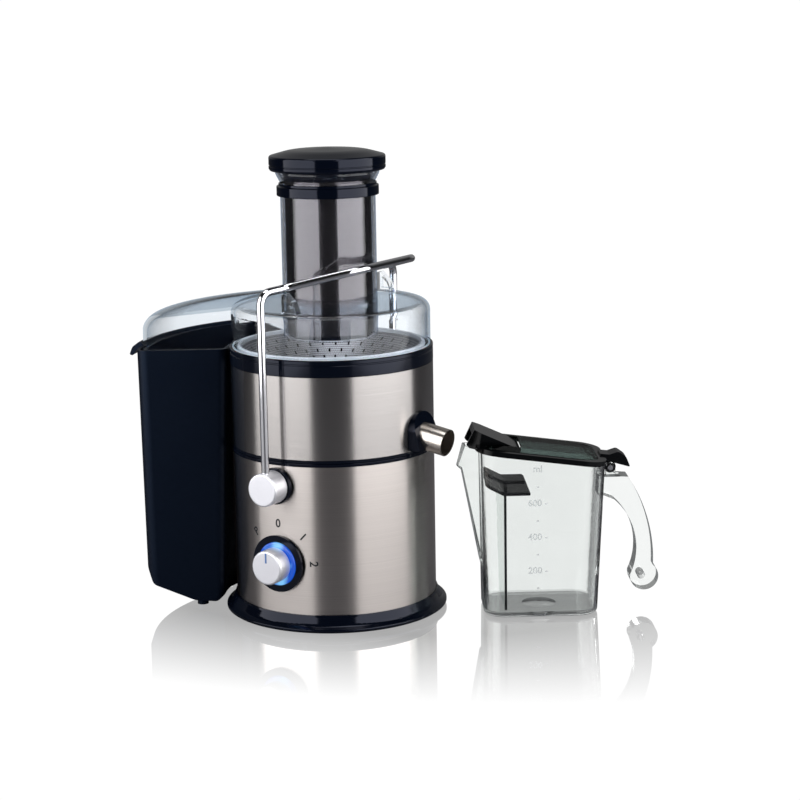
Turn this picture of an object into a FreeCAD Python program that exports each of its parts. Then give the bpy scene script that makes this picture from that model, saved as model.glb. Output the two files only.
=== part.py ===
import FreeCAD, Part
import math
import os

# Centrifugal juicer with its side pulp container and its juice jug.
# Millimetres. +Z up, origin on the floor under the motor axis. +X points along the juice spout,
# -Y is the control side with the speed dial, -X is the pulp container side.

V = FreeCAD.Vector

# ---- driving dimensions ----
BODY_R = 89.5                 # outside radius of the brushed steel sleeves
SLEEVE_T = 0.6                # steel sheet thickness
SHELL_R = 88.6                # plastic shell just inside the sleeves
BASE_R = 98.9                 # widest radius of the flared base ring
SEAM_Z = 149.5                # split between the motor base and the juice collector
BAND_H = 3.0                  # height of each black seam ring
RIM_Z0 = 224.0                # bottom of the collector's black rim
RIM_Z1 = 238.5                # top of the collector's black rim
LID_R = 87.5                  # outside radius of the clear lid
LID_TOP = 276.5               # top face of the clear lid
LID_T = 3.0                   # lid wall thickness
TUBE_R = 41.5                 # outside radius of the feed tube
TUBE_BORE_R = 38.5            # inside radius of the feed tube
TUBE_Z0 = 246.0               # bottom of the feed tube
TUBE_Z1 = 391.0               # top of the flared mouth
BIN_ANGLE = 33.4              # half angle of the pulp container's sector
BIN_R = 172.0                 # outer radius of the pulp container
BIN_RIM_Z = 234.8             # rim height of the pulp container
DIAL_Z = 60.0                 # height of the speed dial's axis
PIVOT_Z = 129.0               # height of the locking handle's pivot axis
CORD_Z = 28.0                 # height of the mains lead's inlet at the back
ARM_Y = 106.0                 # distance of each handle arm from the middle plane
ROD_R = 3.4                   # radius of the handle's chromed rod
JUG_AT = V(163.6, 79.0, 0)    # middle of the jug's base
JUG_TURN = 33.4               # turn of the jug's long axis from +X

SHAFT_R = 4.0                 # motor shaft
STATOR_R = 43.0
ARMATURE_R = 27.0


# ---- shared helpers ----
def save(node, solids):
    """Write one node, from a single solid or a list of separate solids."""
    shape = Part.makeCompound(solids) if isinstance(solids, list) else solids
    shape.exportStep("parts/" + node + ".step")


def cylinder(radius, z0, z1, at=(0, 0)):
    return Part.makeCylinder(radius, z1 - z0, V(at[0], at[1], z0))


def tube(outer, inner, z0, z1, at=(0, 0)):
    return cylinder(outer, z0, z1, at).cut(cylinder(inner, z0 - 1, z1 + 1, at))


def box(low, high):
    size = V(*high) - V(*low)
    return Part.makeBox(size.x, size.y, size.z, V(*low))


def rounded_wire(points):
    """Close an outline; a point is (vector, corner radius), and radius 0 keeps it sharp."""
    count = len(points)
    entry, leave, arcs = [], [], []
    for i, (corner, radius) in enumerate(points):
        back = (points[i - 1][0] - corner).normalize()
        ahead = (points[(i + 1) % count][0] - corner).normalize()
        if radius <= 0:
            entry.append(corner)
            leave.append(corner)
            arcs.append(None)
            continue
        half = back.getAngle(ahead) / 2
        reach = radius / math.tan(half)
        middle = (back + ahead).normalize()
        crown = corner + middle * (radius / math.sin(half) - radius)
        entry.append(corner + back * reach)
        leave.append(corner + ahead * reach)
        arcs.append(Part.Arc(entry[i], crown, leave[i]).toShape())
    edges = []
    for i in range(count):
        if arcs[i]:
            edges.append(arcs[i])
        after = entry[(i + 1) % count]
        if (after - leave[i]).Length > 1e-6:
            edges.append(Part.LineSegment(leave[i], after).toShape())
    return Part.Wire(edges)


def ring(profile):
    """Revolve a half section about Z; each profile point is (r, z) or (r, z, corner radius)."""
    points = [(V(p[0], 0, p[1]), p[2] if len(p) > 2 else 0) for p in profile]
    return Part.Face(rounded_wire(points)).revolve(V(0, 0, 0), V(0, 0, 1), 360)


def slab(outline, z0, z1):
    """Raise a flat outline of (x, y) or (x, y, corner radius) points from z0 to z1."""
    points = [(V(p[0], p[1], z0), p[2] if len(p) > 2 else 0) for p in outline]
    return Part.Face(rounded_wire(points)).extrude(V(0, 0, z1 - z0))


def plate(outline, y0, y1):
    """Raise an outline of (x, z) or (x, z, corner radius) points from y0 to y1."""
    points = [(V(p[0], y0, p[1]), p[2] if len(p) > 2 else 0) for p in outline]
    return Part.Face(rounded_wire(points)).extrude(V(0, y1 - y0, 0))


def along_y(radius, y0, y1, x=0.0, z=0.0):
    """A round bar along Y."""
    return Part.makeCylinder(radius, abs(y1 - y0), V(x, min(y0, y1), z), V(0, 1, 0))


def turned(shape, angle, axis=V(0, 0, 1), about=V(0, 0, 0)):
    copy = shape.copy()
    copy.rotate(about, axis, angle)
    return copy


def moved(shape, x, y, z):
    copy = shape.copy()
    copy.translate(V(x, y, z))
    return copy


def around(shape, angles):
    return [turned(shape, angle) for angle in angles]


def fused(solids):
    whole = solids[0]
    for solid in solids[1:]:
        whole = whole.fuse(solid)
    return whole.removeSplitter()


def fillet_edges(shape, radius, wanted):
    """Round the edges whose bounding box the test accepts."""
    edges = [edge for edge in shape.Edges if wanted(edge.BoundBox)]
    return shape.makeFillet(radius, edges)


# ---- motor base ----
POST_ANGLES = (45, 135, 225, 315)
POST_R = 76.0


def motor_housing():
    """Black moulded shell behind the lower sleeve, with four screw posts."""
    shell = tube(SHELL_R, 85.8, 7.0, 146.3)
    shell = shell.fuse(tube(85.9, 80.0, 139.0, 142.0))
    posts = [cylinder(5.0, 8.0, 139.5, (POST_R, 0))]
    webs = [box((POST_R, -1.2, 8.0), (86.2, 1.2, 139.5))]
    for angle in POST_ANGLES:
        shell = shell.fuse(turned(posts[0].fuse(webs[0]), angle))
    for angle in POST_ANGLES:
        shell = shell.cut(turned(cylinder(1.7, 7.0, 24.0, (POST_R, 0)), angle))
    shell = shell.cut(along_y(20.6, -92, -80, 0, DIAL_Z))
    for side in (-1, 1):
        shell = shell.cut(along_y(7.1, side * 80, side * 92, 0, PIVOT_Z))
    return shell.cut(along_y(6.1, 80, 92, 0, CORD_Z)).removeSplitter()


def steel_sleeve(z0, z1):
    return tube(BODY_R, BODY_R - SLEEVE_T, z0, z1)


def housing_steel_sleeve():
    """Brushed steel wrap of the motor base, pierced for the dial, the pivots and the cord."""
    sleeve = steel_sleeve(12.6, SEAM_Z - BAND_H)
    sleeve = sleeve.cut(along_y(20.6, -95, -80, 0, DIAL_Z))
    for side in (-1, 1):
        sleeve = sleeve.cut(along_y(7.1, side * 80, side * 95, 0, PIVOT_Z))
    return sleeve.cut(along_y(6.1, 80, 95, 0, CORD_Z))


def base_ring():
    """Glossy flared skirt that the steel sleeve stands in."""
    skirt = [(86.2, 2.2), (97.2, 2.2, 0.6), (BASE_R, 3.4, 0.8), (BASE_R, 5.4, 0.9), (94.6, 8.2, 6.0),
             (91.2, 14.4, 3.0), (90.8, 16.0, 0.3), (89.7, 16.0), (89.7, 12.4), (88.8, 12.4), (88.8, 6.8),
             (86.2, 6.8)]
    return ring(skirt)


def bottom_plate():
    """Floor pan with cooling slots and four screw holes."""
    pan = ring([(0, 2.8), (86.0, 2.8), (86.0, 6.6), (83.0, 6.6), (83.0, 4.8), (0, 4.8)])
    for row in range(-4, 5):
        half = 26.0 if abs(row) < 3 else 17.0
        slot = slab([(row * 8 - 1.6, -half, 1.5), (row * 8 + 1.6, -half, 1.5),
                     (row * 8 + 1.6, half, 1.5), (row * 8 - 1.6, half, 1.5)], 2.0, 6.0)
        pan = pan.cut(slot)
    for angle in POST_ANGLES:
        pan = pan.cut(turned(cylinder(2.1, 2.0, 6.0, (POST_R, 0)), angle))
        pan = pan.fuse(turned(tube(5.4, 2.1, 4.8, 7.8, (POST_R, 0)), angle))
        pan = pan.cut(turned(cylinder(3.5, 2.0, 4.2, (POST_R, 0)), angle))
    return pan.removeSplitter()


def foot_ring():
    """Rubber ring the juicer stands on, notched on top so that cooling air gets under the pan."""
    foot = ring([(71.5, 2.6), (72.0, 0, 0.8), (84.0, 0, 0.8), (84.5, 2.6)])
    notch = box((60.0, -9.0, 1.3), (95.0, 9.0, 3.0))
    return foot.cut(around(notch, range(0, 360, 45)))


def bottom_screws():
    screw = fused([cylinder(3.2, 2.9, 4.1), cylinder(1.6, 4.0, 18.0)])
    return around(moved(screw, POST_R, 0, 0), POST_ANGLES)


def deck_cover():
    """Black top of the motor base: lower seam ring, deck and the tower that keeps juice out."""
    return ring([(19.5, 146.6), (BODY_R, 146.6), (BODY_R, SEAM_Z - 0.1, 0.4), (24.5, SEAM_Z - 0.1, 2.0),
                 (23.0, 161.0, 1.2), (7.2, 161.0), (7.2, 158.5), (19.5, 158.5)])


def cord_inlet():
    """Rubber gland for the mains lead, at the back near the floor."""
    collar = along_y(9.0, 89.9, 93.0, 0, CORD_Z)
    neck = along_y(5.8, 84.0, 89.95, 0, CORD_Z)
    flange = along_y(8.0, 81.5, 84.3, 0, CORD_Z)
    return fused([collar, neck, flange]).cut(along_y(3.4, 80, 95, 0, CORD_Z))


def pivot_bosses():
    """Fixed black collars that carry the locking handle's two pivots."""
    bosses = []
    for side in (-1, 1):
        collar = along_y(16.0, side * 90.6, side * 94.2, 0, PIVOT_Z)
        neck = along_y(6.8, side * 80.5, side * 91.0, 0, PIVOT_Z)
        bosses.append(collar.fuse(neck).cut(along_y(4.05, side * 70, side * 100, 0, PIVOT_Z)))
    return bosses


# ---- controls ----
def speed_switch():
    """Rotary switch behind the front wall, with its terminals."""
    body = plate([(-17, DIAL_Z - 17, 2), (17, DIAL_Z - 17, 2), (17, DIAL_Z + 17, 2), (-17, DIAL_Z + 17, 2)],
                 -78.0, -60.0)
    body = body.fuse(along_y(7.0, -83.0, -77.0, 0, DIAL_Z))
    for x in (-10, -3.5, 3.5, 10):
        body = body.fuse(box((x - 1.5, -60.5, DIAL_Z - 12), (x + 1.5, -52.0, DIAL_Z - 11.2)))
    return body.cut(along_y(3.05, -90.0, -66.0, 0, DIAL_Z)).removeSplitter()


def switch_bezel():
    """Black round escutcheon around the dial, plugged into the wall."""
    bezel = along_y(25.0, -92.4, -90.0, 0, DIAL_Z).fuse(along_y(20.3, -90.2, -84.0, 0, DIAL_Z))
    bezel = bezel.cut(along_y(19.2, -95, -87.0, 0, DIAL_Z))
    return bezel.cut(along_y(8.0, -95, -80, 0, DIAL_Z))


def led_ring():
    """Translucent ring that lights up round the dial."""
    lens = along_y(19.0, -94.0, -88.6, 0, DIAL_Z).cut(along_y(11.6, -96, -87, 0, DIAL_Z))
    return fillet_edges(lens, 1.2, lambda b: b.YMax < -93.9 and b.XLength > 30)


def led_board():
    board = along_y(19.0, -88.5, -87.1, 0, DIAL_Z).cut(along_y(8.2, -96, -80, 0, DIAL_Z))
    for index in range(6):
        angle = math.radians(60 * index)
        x, z = 15.2 * math.cos(angle), DIAL_Z + 15.2 * math.sin(angle)
        board = board.cut(box((x - 1.2, -88.6, z - 1.2), (x + 1.2, -88.2, z + 1.2)))
    return board


def speed_knob():
    """Satin turned dial with a slightly domed face and a pointer groove."""
    knob = along_y(15.0, -109.5, -95.0, 0, DIAL_Z)
    knob = fillet_edges(knob, 1.8, lambda b: b.YMax < -109.4)
    knob = knob.fuse(along_y(10.8, -95.2, -89.4, 0, DIAL_Z))
    knob = knob.cut(along_y(3.02, -104.0, -80, 0, DIAL_Z))
    return knob.cut(box((-0.9, -110, DIAL_Z + 4.5), (0.9, -109.0, DIAL_Z + 13.4))).removeSplitter()


def knob_pointer():
    return box((-0.85, -109.6, DIAL_Z + 4.55), (0.85, -109.0, DIAL_Z + 13.3))


def switch_spindle():
    return along_y(3.0, -104.0, -68.0, 0, DIAL_Z)


def safety_switch():
    """Microswitch beside the front pivot: it closes only with the handle locked up."""
    body = box((8.0, -79.0, 112.0), (28.0, -72.0, 122.0))
    lever = turned(box((8.5, -78.0, 122.6), (24.0, -73.0, 123.2)), -6, V(0, 1, 0), V(24, -75, 123))
    return [fused([body, box((22.0, -78.0, 121.5), (24.5, -73.0, 123.6)), lever])]


def control_board():
    """Speed control board with its capacitor, choke and relay."""
    board = box((-36.0, 54.0, 40.0), (36.0, 55.6, 104.0))
    capacitor = along_y(9.0, 55.5, 70.0, -20.0, 58.0)
    choke = along_y(8.0, 55.5, 64.0, 18.0, 60.0).cut(along_y(3.6, 56.5, 65.0, 18.0, 60.0))
    relay = box((-26.0, 55.5, 80.0), (-6.0, 70.0, 96.0))
    triac = box((8.0, 55.5, 84.0), (18.0, 60.0, 99.0))
    return fused([board, capacitor, choke, relay, triac])


# ---- motor ----
def motor_stator():
    """Laminated field stack with two salient poles."""
    stack = cylinder(STATOR_R, 58.0, 103.0)
    stack = stack.common(box((-STATOR_R, -37.0, 50.0), (STATOR_R, 37.0, 110.0)))
    bore = cylinder(ARMATURE_R + 0.6, 50.0, 110.0)
    pockets = tube(36.0, 20.0, 50.0, 110.0)
    wedge = slab([(0, 0), (50, 30), (50, -30)], 50.0, 110.0)
    pockets = pockets.cut(wedge).cut(turned(wedge, 180))
    return stack.cut(bore).cut(pockets).removeSplitter()


def field_windings():
    """Two copper coils round the poles, showing past both ends of the stack."""
    coils = []
    for turn in (0, 180):
        sector = slab([(0, 0), (60, 36), (60, 60), (0, 60)], 53.0, 108.0)
        ends = tube(35.4, 29.0, 53.0, 108.0)
        coil = ends.cut(slab([(0, 0), (-60, 38), (-60, -38)], 50, 110))
        coil = coil.cut(slab([(0, 0), (60, 38), (60, -38)], 50, 110))
        half = coil.common(sector.fuse(slab([(0, 0), (0, 60), (-60, 60), (-60, 36)], 53.0, 108.0)))
        coils.append(turned(half, turn))
    return coils


def bearing(z0, z1):
    outer = tube(11.0, 8.6, z0, z1)
    inner = tube(6.4, SHAFT_R, z0, z1)
    middle = (z0 + z1) / 2
    cage = tube(8.7, 6.3, middle - 1.4, middle + 1.4)
    return fused([outer, inner, cage])


def end_bracket(z0, z1, seat_z0, seat_z1):
    """Cast spider: a bearing seat on two arms, bolted across the stator."""
    seat = tube(14.0, 11.0, seat_z0, seat_z1)
    arm = box((-6.0, -52.0, z0), (6.0, 52.0, z0 + 4.0))
    legs = [box((-6.0, side * 50.0 - 2, z0), (6.0, side * 50.0 + 2, z1)) for side in (-1, 1)]
    spider = fused([seat, arm.cut(cylinder(11.0, z0 - 1, z1 + 5))] + legs)
    return spider


def carbon_brushes():
    return [box((12.2, -2.5, 41.0), (26.0, 2.5, 47.0)), box((-26.0, -2.5, 41.0), (-12.2, 2.5, 47.0))]


def brush_holders():
    sleeve = box((15.5, -4.0, 39.5), (31.0, 4.0, 48.5)).cut(box((14.0, -2.55, 40.9), (28.0, 2.55, 47.1)))
    return [sleeve, turned(sleeve, 180)]


def motor_mounts():
    """Rubber bushes between the motor's brackets and the floor pan."""
    bush = tube(6.0, 2.2, 4.9, 17.8)
    return around(moved(bush, 0, 50.0, 0), (0, 180))


def shaft_seal():
    return ring([(4.3, 156.0), (7.0, 156.0), (7.0, 163.0, 0.8), (4.3, 163.0), (4.3, 161.0), (5.2, 160.0),
                 (5.2, 158.0), (4.3, 157.0)])


# ---- rotor ----
def motor_shaft():
    return fused([cylinder(SHAFT_R - 0.03, 21.0, 172.0), cylinder(6.2, 103.3, 107.5)])


def armature_core():
    """Slotted lamination stack with its end turns of wire."""
    core = tube(ARMATURE_R, SHAFT_R - 0.03, 58.0, 103.0)
    for index in range(12):
        slot = box((18.0, -1.6, 57.0), (ARMATURE_R + 1, 1.6, 104.0))
        core = core.cut(turned(slot, 30 * index))
    ends = [ring([(6.3, 52.0, 1), (20.0, 52.0, 5), (22.0, 58.1), (6.3, 58.1)])]
    return fused([core] + ends)


def commutator():
    drum = tube(12.0, SHAFT_R - 0.03, 37.0, 51.8)
    for index in range(24):
        drum = drum.cut(turned(box((10.6, -0.2, 36.5), (13.0, 0.2, 50.0)), 15 * index))
    return drum


def cooling_fan():
    """Radial fan on the drive end of the motor shaft."""
    fan = tube(42.0, SHAFT_R - 0.03, 110.0, 111.6).fuse(tube(9.0, SHAFT_R - 0.03, 110.0, 121.0))
    for index in range(11):
        blade = turned(box((12.0, -0.7, 111.0), (41.0, 0.7, 121.0)), 14, V(0, 0, 1), V(26, 0, 0))
        fan = fan.fuse(turned(blade, 360 / 11 * index))
    return fan.removeSplitter()


COUPLING_Z0 = 165.0
COUPLING_Z1 = 186.0


def drive_coupling():
    """Six-lobed driver that stands out of the tower and turns the basket."""
    hub = cylinder(13.0, COUPLING_Z0, COUPLING_Z1)
    for index in range(6):
        lobe = cylinder(3.4, COUPLING_Z0 + 4, COUPLING_Z1, (13.0, 0))
        hub = hub.fuse(turned(lobe, 60 * index))
    hub = hub.fuse(cylinder(18.0, COUPLING_Z0, COUPLING_Z0 + 3.0))
    return hub.cut(cylinder(SHAFT_R - 0.03, 160.0, 172.0)).removeSplitter()


DISC_Z = 212.0
DISC_R = 46.0
MESH_TOP_R = 80.6


def grater_disc():
    """Stamped steel cutting disc with rings of raised teeth."""
    disc = cylinder(DISC_R, DISC_Z, DISC_Z + 1.2)
    for ring_radius, count in ((14, 8), (21, 12), (28, 16), (35, 20), (41.5, 24)):
        tooth = Part.makeCone(1.3, 0.3, 2.2, V(ring_radius, 0, DISC_Z + 1.0))
        for index in range(count):
            disc = disc.fuse(turned(tooth, 360 / count * index))
    boss = ring([(0, DISC_Z - 0.5), (8.5, DISC_Z - 0.5), (8.5, DISC_Z + 3.5, 1), (0, DISC_Z + 4.5)])
    return disc.fuse(boss).removeSplitter()


def basket_hub():
    """Plastic under-frame of the basket, with the socket that drops over the coupling."""
    top = DISC_Z - 0.6
    hub = ring([(0, 190.0), (19.5, 190.0), (19.5, 171.0), (22.5, 171.0), (22.5, 190.0), (26.0, 196.0, 3),
                (DISC_R + 5.5, 203.5, 1), (DISC_R + 5.5, top - 1.2), (DISC_R + 1.6, top - 1.2),
                (DISC_R + 1.6, top), (0, top)])
    return hub


def filter_basket():
    """Conical sieve of etched sheet steel, with rows of slots through its wall."""
    slope = (MESH_TOP_R - DISC_R - 2.0) / (236.5 - DISC_Z)
    wall = ring([(DISC_R + 2.0, DISC_Z - 1.6), (DISC_R + 3.0, DISC_Z - 1.6), (MESH_TOP_R + 0.8, 236.5),
                 (MESH_TOP_R, 236.5)])
    lip = tube(DISC_R + 4.2, DISC_R + 0.2, DISC_Z - 0.6, DISC_Z + 0.6)
    wall = wall.fuse(lip)
    cutters = []
    for level in range(4):
        height = DISC_Z + 4.5 + 5.0 * level
        radius = DISC_R + 2.4 + slope * (height - DISC_Z + 1.0)
        slot = box((radius - 6, -0.8, height - 1.4), (radius + 6, 0.8, height + 1.4))
        for index in range(36):
            cutters.append(turned(slot, 10 * index + 5 * (level % 2)))
    return wall.cut(Part.makeCompound(cutters)).removeSplitter()


def basket_rim():
    return ring([(MESH_TOP_R - 1.0, 236.7), (82.8, 236.7, 0.5), (82.8, 240.2, 0.8),
                 (MESH_TOP_R - 1.0, 240.2, 0.6)])


# ---- juice collector ----
SPOUT_SLOPE = 10.0
SPOUT_MOUTH = V(117.2, 0, 160.1)
SPOUT_DIR = V(math.cos(math.radians(SPOUT_SLOPE)), 0, -math.sin(math.radians(SPOUT_SLOPE)))
SPOUT_LENGTH = 39.0


def spout_bar(radius, start, length):
    """A round bar on the spout's sloping axis, start measured back from the mouth."""
    return Part.makeCylinder(radius, length, SPOUT_MOUTH - SPOUT_DIR * start, SPOUT_DIR)


def juice_collector():
    """Moulded bowl: outer wall, sloping gutter, sleeve round the drive, and the black rim."""
    wall_in = 85.4
    bowl = ring([(27.0, SEAM_Z + 0.1), (BODY_R, SEAM_Z + 0.1, 0.4), (BODY_R, SEAM_Z + BAND_H - 0.1),
                 (SHELL_R, SEAM_Z + BAND_H - 0.1), (SHELL_R, RIM_Z0), (BODY_R + 0.1, RIM_Z0, 0.4),
                 (BODY_R + 0.1, 233.6, 0.3), (BODY_R - 0.3, 234.0), (BODY_R - 0.3, 234.8),
                 (BODY_R + 0.1, 235.2, 0.3), (BODY_R + 0.1, RIM_Z1, 0.8), (wall_in, RIM_Z1, 0.8),
                 (wall_in, 158.0, 4), (33.0, 156.0, 3), (30.0, 182.0, 1), (27.0, 182.0)])
    return bowl.cut(spout_bar(12.0, 45.0, 60.0))


def collector_steel_sleeve():
    sleeve = steel_sleeve(SEAM_Z + BAND_H, RIM_Z0 - 0.1)
    return sleeve.cut(spout_bar(12.0, 45.0, 60.0))


def spout_hood():
    """Black arched shroud that frames the spout where it leaves the body."""
    arch = [(-17.2, 153.6, 1.0), (17.2, 153.6, 1.0), (17.2, 185.6, 15.5), (-17.2, 185.6, 15.5)]
    points = [(V(86.0, p[0], p[1]), p[2]) for p in arch]
    hood = Part.Face(rounded_wire(points)).extrude(V(16.0, 0, 0))
    hood = hood.cut(cylinder(BODY_R + 0.15, 140.0, 200.0))
    slope = turned(box((97.0, -40, 130.0), (130.0, 40, 220.0)), -14, V(0, 1, 0), V(97.0, 0, 165.0))
    hood = hood.cut(slope)
    return hood.cut(spout_bar(12.0, 45.0, 60.0)).removeSplitter()


def spout_tube():
    """Rolled steel spout that slopes down and out over the jug."""
    barrel = spout_bar(11.9, SPOUT_LENGTH, SPOUT_LENGTH)
    barrel = barrel.cut(spout_bar(10.9, SPOUT_LENGTH + 1, SPOUT_LENGTH + 2))
    return barrel.cut(cylinder(84.6, 140.0, 200.0))


# ---- lid and feed tube ----
LID_SHELF = 235.6             # bottom edge of the pulp chute's skirt
CHUTE_R = 165.4               # outer radius of the lid over the pulp container
LUG_Y = 78.0                  # where the handle's rod crosses the lid's locking lugs


def chute_profile(inset):
    """Half section of the pulp chute: a falling roof with a big shoulder, set in by a wall."""
    shelf = LID_SHELF - 2 if inset else LID_SHELF
    return [(0, shelf), (CHUTE_R - inset, shelf),
            (CHUTE_R - inset - 0.6, 265.6 - inset, 13.0), (86.0, 272.4 - inset, 30.0), (0, 273.4 - inset)]


def chute(inset, half_angle):
    points = [(V(p[0], 0, p[1]), p[2] if len(p) > 2 else 0) for p in chute_profile(inset)]
    turned_solid = Part.Face(rounded_wire(points)).revolve(V(0, 0, 0), V(0, 0, 1), 2 * half_angle)
    return turned(turned_solid, 180 - half_angle)


def lid():
    """Clear lid: a round dome over the basket and a sector that carries pulp to the container."""
    dome = ring([(0, RIM_Z1 + 0.4), (LID_R, RIM_Z1 + 0.4), (LID_R, LID_TOP, 8.5), (0, LID_TOP)])
    hollow = ring([(0, RIM_Z1 - 1), (LID_R - LID_T, RIM_Z1 - 1), (LID_R - LID_T, LID_TOP - LID_T, 6.0),
                   (0, LID_TOP - LID_T)])
    outside = dome.fuse(chute(0.0, BIN_ANGLE - 0.2).cut(cylinder(LID_R - 1.0, 200.0, RIM_Z1 + 0.4)))
    skirt_cut = cylinder(BODY_R + 0.5, 225.0, RIM_Z1 + 0.4)
    inside = hollow.fuse(chute(LID_T, BIN_ANGLE - 1.6))
    shell = outside.cut(inside).cut(skirt_cut)
    shell = shell.cut(cylinder(TUBE_R + 0.05, 200.0, 300.0))
    for side in (-1, 1):
        ramp = plate([(3.0, 274.5), (3.0, 292.6, 0.8), (6.4, 293.4, 1.5), (14.8, 285.0, 9.0), (18.6, 274.5)],
                     side * 76.0 - 3.6, side * 76.0 + 3.6)
        window = plate([(6.0, 278.5, 0.6), (6.0, 289.0, 0.8), (12.6, 283.6, 3.0), (15.0, 278.5, 0.6)],
                       side * 76.0 - 1.6, side * 76.0 + 4.0 * side)
        shell = shell.fuse(ramp.common(cylinder(LID_R - 0.6, 260.0, 300.0)).cut(window))
    return shell.removeSplitter()


def feed_tube():
    """Clear chute bonded through the lid, with a flared mouth and a collar on the lid."""
    wall = [(TUBE_BORE_R, TUBE_Z0), (TUBE_R, TUBE_Z0, 0.8), (TUBE_R, 381.2, 2), (45.2, 388.6, 1.2),
            (45.2, TUBE_Z1, 0.5), (43.0, TUBE_Z1, 0.5), (42.6, 388.8, 1), (TUBE_BORE_R, 382.2, 2)]
    return ring(wall)


def tube_trim_ring():
    """Black band clipped round the top of the feed tube."""
    return ring([(TUBE_R + 0.05, 369.8), (44.5, 369.8, 0.5), (44.5, 378.0, 0.6), (42.7, 378.6, 0.3),
                 (42.7, 380.6, 0.3), (TUBE_R + 0.05, 380.6)])


def lid_seal():
    """Silicone ring that the lid presses on the collector's rim."""
    return ring([(85.6, RIM_Z1), (87.2, RIM_Z1), (87.2, RIM_Z1 + 0.38), (85.6, RIM_Z1 + 0.38)])


# ---- pusher ----
def pusher_head():
    """Glossy knob of the pusher: a domed cap on a rim that stops on the feed tube's mouth."""
    return ring([(0, 392.0), (36.5, 392.0), (36.5, 384.0, 0.5), (37.9, 384.0, 0.5), (41.6, 389.6, 1.5),
                 (41.9, 391.4, 0.4), (49.6, 391.4, 1.0), (50.8, 393.2, 1.2), (50.8, 395.4, 0.3), (50.2, 395.7),
                 (50.2, 396.3), (50.8, 396.6, 0.3), (50.8, 404.0, 2.0), (34.0, 408.6, 60.0), (0, 410.6)])


def pusher_body():
    """Straight hollow plunger that fits the feed tube."""
    return ring([(34.4, 250.4), (37.6, 250.4), (37.6, 383.8), (35.0, 383.8), (35.0, 391.8), (33.0, 391.8),
                 (33.0, 256.0), (34.4, 254.0)])


def pusher_tip():
    """Ribbed end plate that presses food on the cutting disc."""
    tip = ring([(0, 247.0), (36.6, 247.0, 1.2), (37.6, 250.2), (34.2, 250.2), (34.2, 252.6), (0, 252.6)])
    for radius in (12.0, 22.0, 31.0):
        tip = tip.cut(tube(radius + 1.0, radius - 1.0, 246.0, 248.2))
    return tip


# ---- locking handle ----
BOW_Z = 296.5                 # height of the rod where it turns in over the lid
BOW_RISE = 0.266              # climb of the bow per millimetre forward
BOW_X = 60.5                  # how far forward the bow reaches


def handle_rod():
    """Chromed rod bent into a bail: upright arms, a turn in over the lid's lugs, a raised bow."""
    half = [(0.0, ARM_Y, PIVOT_Z, 0), (0.0, ARM_Y, BOW_Z, 11.0), (6.0, LUG_Y, BOW_Z + BOW_RISE * 6.0, 16.0),
            (BOW_X, 46.0, BOW_Z + BOW_RISE * BOW_X, 26.0)]
    route = half + [(x, -y, z, r) for x, y, z, r in reversed(half)]
    points = [V(x, y, z) for x, y, z, r in route]
    edges = []
    last = points[0]
    for i in range(1, len(points) - 1):
        back = (points[i - 1] - points[i]).normalize()
        ahead = (points[i + 1] - points[i]).normalize()
        half_angle = back.getAngle(ahead) / 2
        radius = route[i][3]
        reach = radius / math.tan(half_angle)
        crown = points[i] + (back + ahead).normalize() * (radius / math.sin(half_angle) - radius)
        edges.append(Part.LineSegment(last, points[i] + back * reach).toShape())
        edges.append(Part.Arc(points[i] + back * reach, crown, points[i] + ahead * reach).toShape())
        last = points[i] + ahead * reach
    edges.append(Part.LineSegment(last, points[-1]).toShape())
    section = Part.Wire(Part.makeCircle(ROD_R, points[0], V(0, 0, 1)))
    rod = Part.Wire(edges).makePipeShell([section], True, False, 1)
    for side in (-1, 1):
        rod = rod.cut(along_y(14.45, side * 95, side * 115, 0, PIVOT_Z))
    return rod


def pivot_knob(side):
    """Satin round cap that holds the rod's end, with the pin that turns in the boss."""
    cap = along_y(14.4, side * 95.0, side * 112.5, 0, PIVOT_Z)
    cap = fillet_edges(cap, 1.6, lambda b: abs(b.YMin) > 112.4 and abs(b.YMax) > 112.4)
    return cap


def pivot_pin(side):
    pin = along_y(4.0, side * 76.0, side * 94.9, 0, PIVOT_Z)
    cam = plate([(-4.5, PIVOT_Z - 8.5, 2), (4.5, PIVOT_Z - 8.5, 2), (5.5, PIVOT_Z + 5.5, 2),
                 (-5.5, PIVOT_Z + 5.5, 2)], side * 75.0, side * 79.5)
    return fused([pin, cam])


# ---- pulp container ----
BIN_WALL = 2.6


def bin_solid(inset, z0, z1):
    """Loft of the container's sector from its floor to its rim."""
    sections = []
    for z, outer, inner in ((z0, BIN_R - 2.0, 101.5), (z1, BIN_R, 92.6)):
        half = math.radians(BIN_ANGLE - 0.2)
        a_out = half - (inset + 0.8) / outer
        a_in = half - (inset + 0.8) / inner
        corner = 10.0 - inset
        sections.append(sector_wire(outer - inset, inner + inset, a_out, a_in, corner, corner - 3.0, z))
    return Part.makeLoft(sections, True, True)


def bin_floor_cut(grow):
    """Everything below the container's floor, which climbs towards its outer wall."""
    below = [(80.0, -10.0), (80.0, 18.0 + grow), (98.0, 12.0 + grow, 4.0), (108.0, 4.2 + grow, 6.0),
             (128.0, 5.8 + grow, 20.0), (165.0, 21.6 + grow, 7.0), (170.5, 38.0 + grow, 8.0),
             (190.0, 70.0 + grow), (190.0, -10.0)]
    return turned(ring_arc(below, 90.0), 180 - 45.0)


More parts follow.
